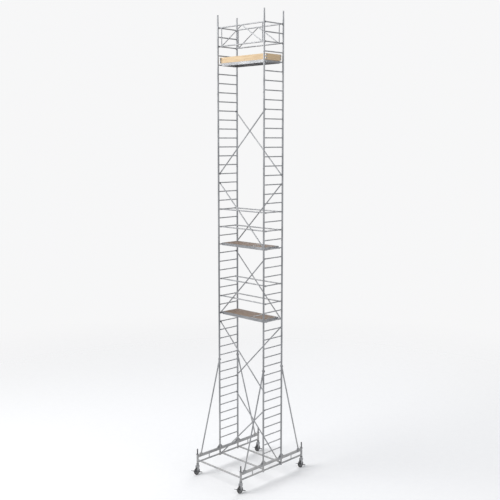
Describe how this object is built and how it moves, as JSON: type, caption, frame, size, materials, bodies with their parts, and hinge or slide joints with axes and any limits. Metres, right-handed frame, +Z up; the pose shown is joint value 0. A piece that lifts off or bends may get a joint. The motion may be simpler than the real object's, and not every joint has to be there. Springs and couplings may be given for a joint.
{
  "type": "mobile scaffold tower",
  "caption": "Tall narrow mobile scaffold tower of stacked ladder frames on braked castors, with diagonal braces, struts, hatch platforms, guard rails and toe boards.",
  "frame": {"origin": "on the ground, at the middle of the rectangle of the four castor spindles", "axes": "+Z up; X along the platforms; Y across the ladder frames, with the base tube that closes one end of the base at -Y"},
  "size_m": [1.894, 2.9091, 12.95],
  "materials": {
    "aluminium_tube": "mill-finished extruded aluminium tube, lightly brushed and dulled by use",
    "plywood": "phenolic-faced birch plywood with a fine anti-slip mesh print",
    "toe_board_wood": "planed softwood board, clear coated",
    "zinc_pin": "zinc-plated spring steel",
    "spindle_steel": "dark galvanised steel thread, lightly oiled",
    "nut_steel": "galvanised casting",
    "fork_steel": "zinc-plated pressed steel",
    "wheel_polymer": "dark moulded rubber tyre on a grey polymer hub",
    "pedal_steel": "dark powder-coated pressed steel"
  },
  "bodies": {
    "tower": {"base_beam_left": "aluminium_tube", "base_beam_right": "aluminium_tube", "base_tube_back": "aluminium_tube", "base_tube_end": "aluminium_tube", "base_tube_front": "aluminium_tube", "brace_pair_1": "aluminium_tube", "brace_pair_2": "aluminium_tube", "brace_pair_3": "aluminium_tube", "brace_pair_4": "aluminium_tube", "brace_pair_5": "aluminium_tube", "guard_rails_lower": "aluminium_tube", "guard_rails_middle": "aluminium_tube", "ladder_frame_left_1": "aluminium_tube", "ladder_frame_left_2": "aluminium_tube", "ladder_frame_left_3": "aluminium_tube", "ladder_frame_left_4": "aluminium_tube", "ladder_frame_left_5": "aluminium_tube", "ladder_frame_left_6": "aluminium_tube", "ladder_frame_right_1": "aluminium_tube", "ladder_frame_right_2": "aluminium_tube", "ladder_frame_right_3": "aluminium_tube", "ladder_frame_right_4": "aluminium_tube", "ladder_frame_right_5": "aluminium_tube", "ladder_frame_right_6": "aluminium_tube", "locking_pins": "zinc_pin", "platform_board_lower": "plywood", "platform_board_middle": "plywood", "platform_board_top": "plywood", "platform_frame_lower": "aluminium_tube", "platform_frame_middle": "aluminium_tube", "platform_frame_top": "aluminium_tube", "struts_left": "aluminium_tube", "struts_right": "aluminium_tube", "toe_boards_end": "toe_board_wood", "toe_boards_long": "toe_board_wood", "top_guard_frame_back": "aluminium_tube", "top_guard_frame_front": "aluminium_tube"},
    "stem_left_front": {"spindle_left_front": "spindle_steel"},
    "nut_left_front": {"levelling_nut_left_front": "nut_steel"},
    "fork_left_front": {"castor_fork_left_front": "fork_steel"},
    "wheel_left_front": {"castor_wheel_left_front": "wheel_polymer"},
    "pedal_left_front": {"brake_pedal_left_front": "pedal_steel"},
    "stem_left_back": {"spindle_left_back": "spindle_steel"},
    "nut_left_back": {"levelling_nut_left_back": "nut_steel"},
    "fork_left_back": {"castor_fork_left_back": "fork_steel"},
    "wheel_left_back": {"castor_wheel_left_back": "wheel_polymer"},
    "pedal_left_back": {"brake_pedal_left_back": "pedal_steel"},
    "stem_right_front": {"spindle_right_front": "spindle_steel"},
    "nut_right_front": {"levelling_nut_right_front": "nut_steel"},
    "fork_right_front": {"castor_fork_right_front": "fork_steel"},
    "wheel_right_front": {"castor_wheel_right_front": "wheel_polymer"},
    "pedal_right_front": {"brake_pedal_right_front": "pedal_steel"},
    "stem_right_back": {"spindle_right_back": "spindle_steel"},
    "nut_right_back": {"levelling_nut_right_back": "nut_steel"},
    "fork_right_back": {"castor_fork_right_back": "fork_steel"},
    "wheel_right_back": {"castor_wheel_right_back": "wheel_polymer"},
    "pedal_right_back": {"brake_pedal_right_back": "pedal_steel"},
    "hatch_lower": {"hatch_lower": "plywood"},
    "hatch_middle": {"hatch_middle": "plywood"},
    "hatch_top": {"hatch_top": "plywood"}
  },
  "joints": [
    {"name": "level_left_front", "type": "slide", "parent": "tower", "child": "stem_left_front", "axis": [0, 0, -1], "range_m": [0, 0.15]},
    {"name": "nut_turn_left_front", "type": "hinge", "parent": "tower", "child": "nut_left_front", "pos_m": [-0.885, -1.25, 0.593], "axis": [0, 0, 1], "range_deg": [0, 5400]},
    {"name": "swivel_left_front", "type": "hinge", "parent": "stem_left_front", "child": "fork_left_front", "pos_m": [-0.885, -1.25, 0.3], "axis": [0, 0, 1], "continuous": true},
    {"name": "roll_left_front", "type": "hinge", "parent": "fork_left_front", "child": "wheel_left_front", "pos_m": [-0.885, -1.282, 0.1], "axis": [1, 0, 0], "continuous": true},
    {"name": "brake_left_front", "type": "hinge", "parent": "fork_left_front", "child": "pedal_left_front", "pos_m": [-0.842, -1.282, 0.1], "axis": [1, 0, 0], "range_deg": [0, 20]},
    {"name": "level_left_back", "type": "slide", "parent": "tower", "child": "stem_left_back", "axis": [0, 0, -1], "range_m": [0, 0.15]},
    {"name": "nut_turn_left_back", "type": "hinge", "parent": "tower", "child": "nut_left_back", "pos_m": [-0.885, 1.25, 0.593], "axis": [0, 0, 1], "range_deg": [0, 5400]},
    {"name": "swivel_left_back", "type": "hinge", "parent": "stem_left_back", "child": "fork_left_back", "pos_m": [-0.885, 1.25, 0.3], "axis": [0, 0, 1], "continuous": true},
    {"name": "roll_left_back", "type": "hinge", "parent": "fork_left_back", "child": "wheel_left_back", "pos_m": [-0.885, 1.218, 0.1], "axis": [1, 0, 0], "continuous": true},
    {"name": "brake_left_back", "type": "hinge", "parent": "fork_left_back", "child": "pedal_left_back", "pos_m": [-0.842, 1.218, 0.1], "axis": [1, 0, 0], "range_deg": [0, 20]},
    {"name": "level_right_front", "type": "slide", "parent": "tower", "child": "stem_right_front", "axis": [0, 0, -1], "range_m": [0, 0.15]},
    {"name": "nut_turn_right_front", "type": "hinge", "parent": "tower", "child": "nut_right_front", "pos_m": [0.885, -1.25, 0.593], "axis": [0, 0, 1], "range_deg": [0, 5400]},
    {"name": "swivel_right_front", "type": "hinge", "parent": "stem_right_front", "child": "fork_right_front", "pos_m": [0.885, -1.25, 0.3], "axis": [0, 0, 1], "continuous": true},
    {"name": "roll_right_front", "type": "hinge", "parent": "fork_right_front", "child": "wheel_right_front", "pos_m": [0.885, -1.282, 0.1], "axis": [1, 0, 0], "continuous": true},
    {"name": "brake_right_front", "type": "hinge", "parent": "fork_right_front", "child": "pedal_right_front", "pos_m": [0.928, -1.282, 0.1], "axis": [1, 0, 0], "range_deg": [0, 20]},
    {"name": "level_right_back", "type": "slide", "parent": "tower", "child": "stem_right_back", "axis": [0, 0, -1], "range_m": [0, 0.15]},
    {"name": "nut_turn_right_back", "type": "hinge", "parent": "tower", "child": "nut_right_back", "pos_m": [0.885, 1.25, 0.593], "axis": [0, 0, 1], "range_deg": [0, 5400]},
    {"name": "swivel_right_back", "type": "hinge", "parent": "stem_right_back", "child": "fork_right_back", "pos_m": [0.885, 1.25, 0.3], "axis": [0, 0, 1], "continuous": true},
    {"name": "roll_right_back", "type": "hinge", "parent": "fork_right_back", "child": "wheel_right_back", "pos_m": [0.885, 1.218, 0.1], "axis": [1, 0, 0], "continuous": true},
    {"name": "brake_right_back", "type": "hinge", "parent": "fork_right_back", "child": "pedal_right_back", "pos_m": [0.928, 1.218, 0.1], "axis": [1, 0, 0], "range_deg": [0, 20]},
    {"name": "hatch_hinge_lower", "type": "hinge", "parent": "tower", "child": "hatch_lower", "pos_m": [0.285, 0, 4.6615], "axis": [0, -1, 0], "range_deg": [0, 95]},
    {"name": "hatch_hinge_middle", "type": "hinge", "parent": "tower", "child": "hatch_middle", "pos_m": [0.285, 0, 6.6615], "axis": [0, -1, 0], "range_deg": [0, 95]},
    {"name": "hatch_hinge_top", "type": "hinge", "parent": "tower", "child": "hatch_top", "pos_m": [0.285, 0, 11.6615], "axis": [0, -1, 0], "range_deg": [0, 95]}
  ],
  "couplings": [
    {"joint": "nut_turn_left_front", "follows": "level_left_front", "rad_per_m": 628.32},
    {"joint": "nut_turn_left_back", "follows": "level_left_back", "rad_per_m": 628.32},
    {"joint": "nut_turn_right_front", "follows": "level_right_front", "rad_per_m": 628.32},
    {"joint": "nut_turn_right_back", "follows": "level_right_back", "rad_per_m": 628.32}
  ]
}
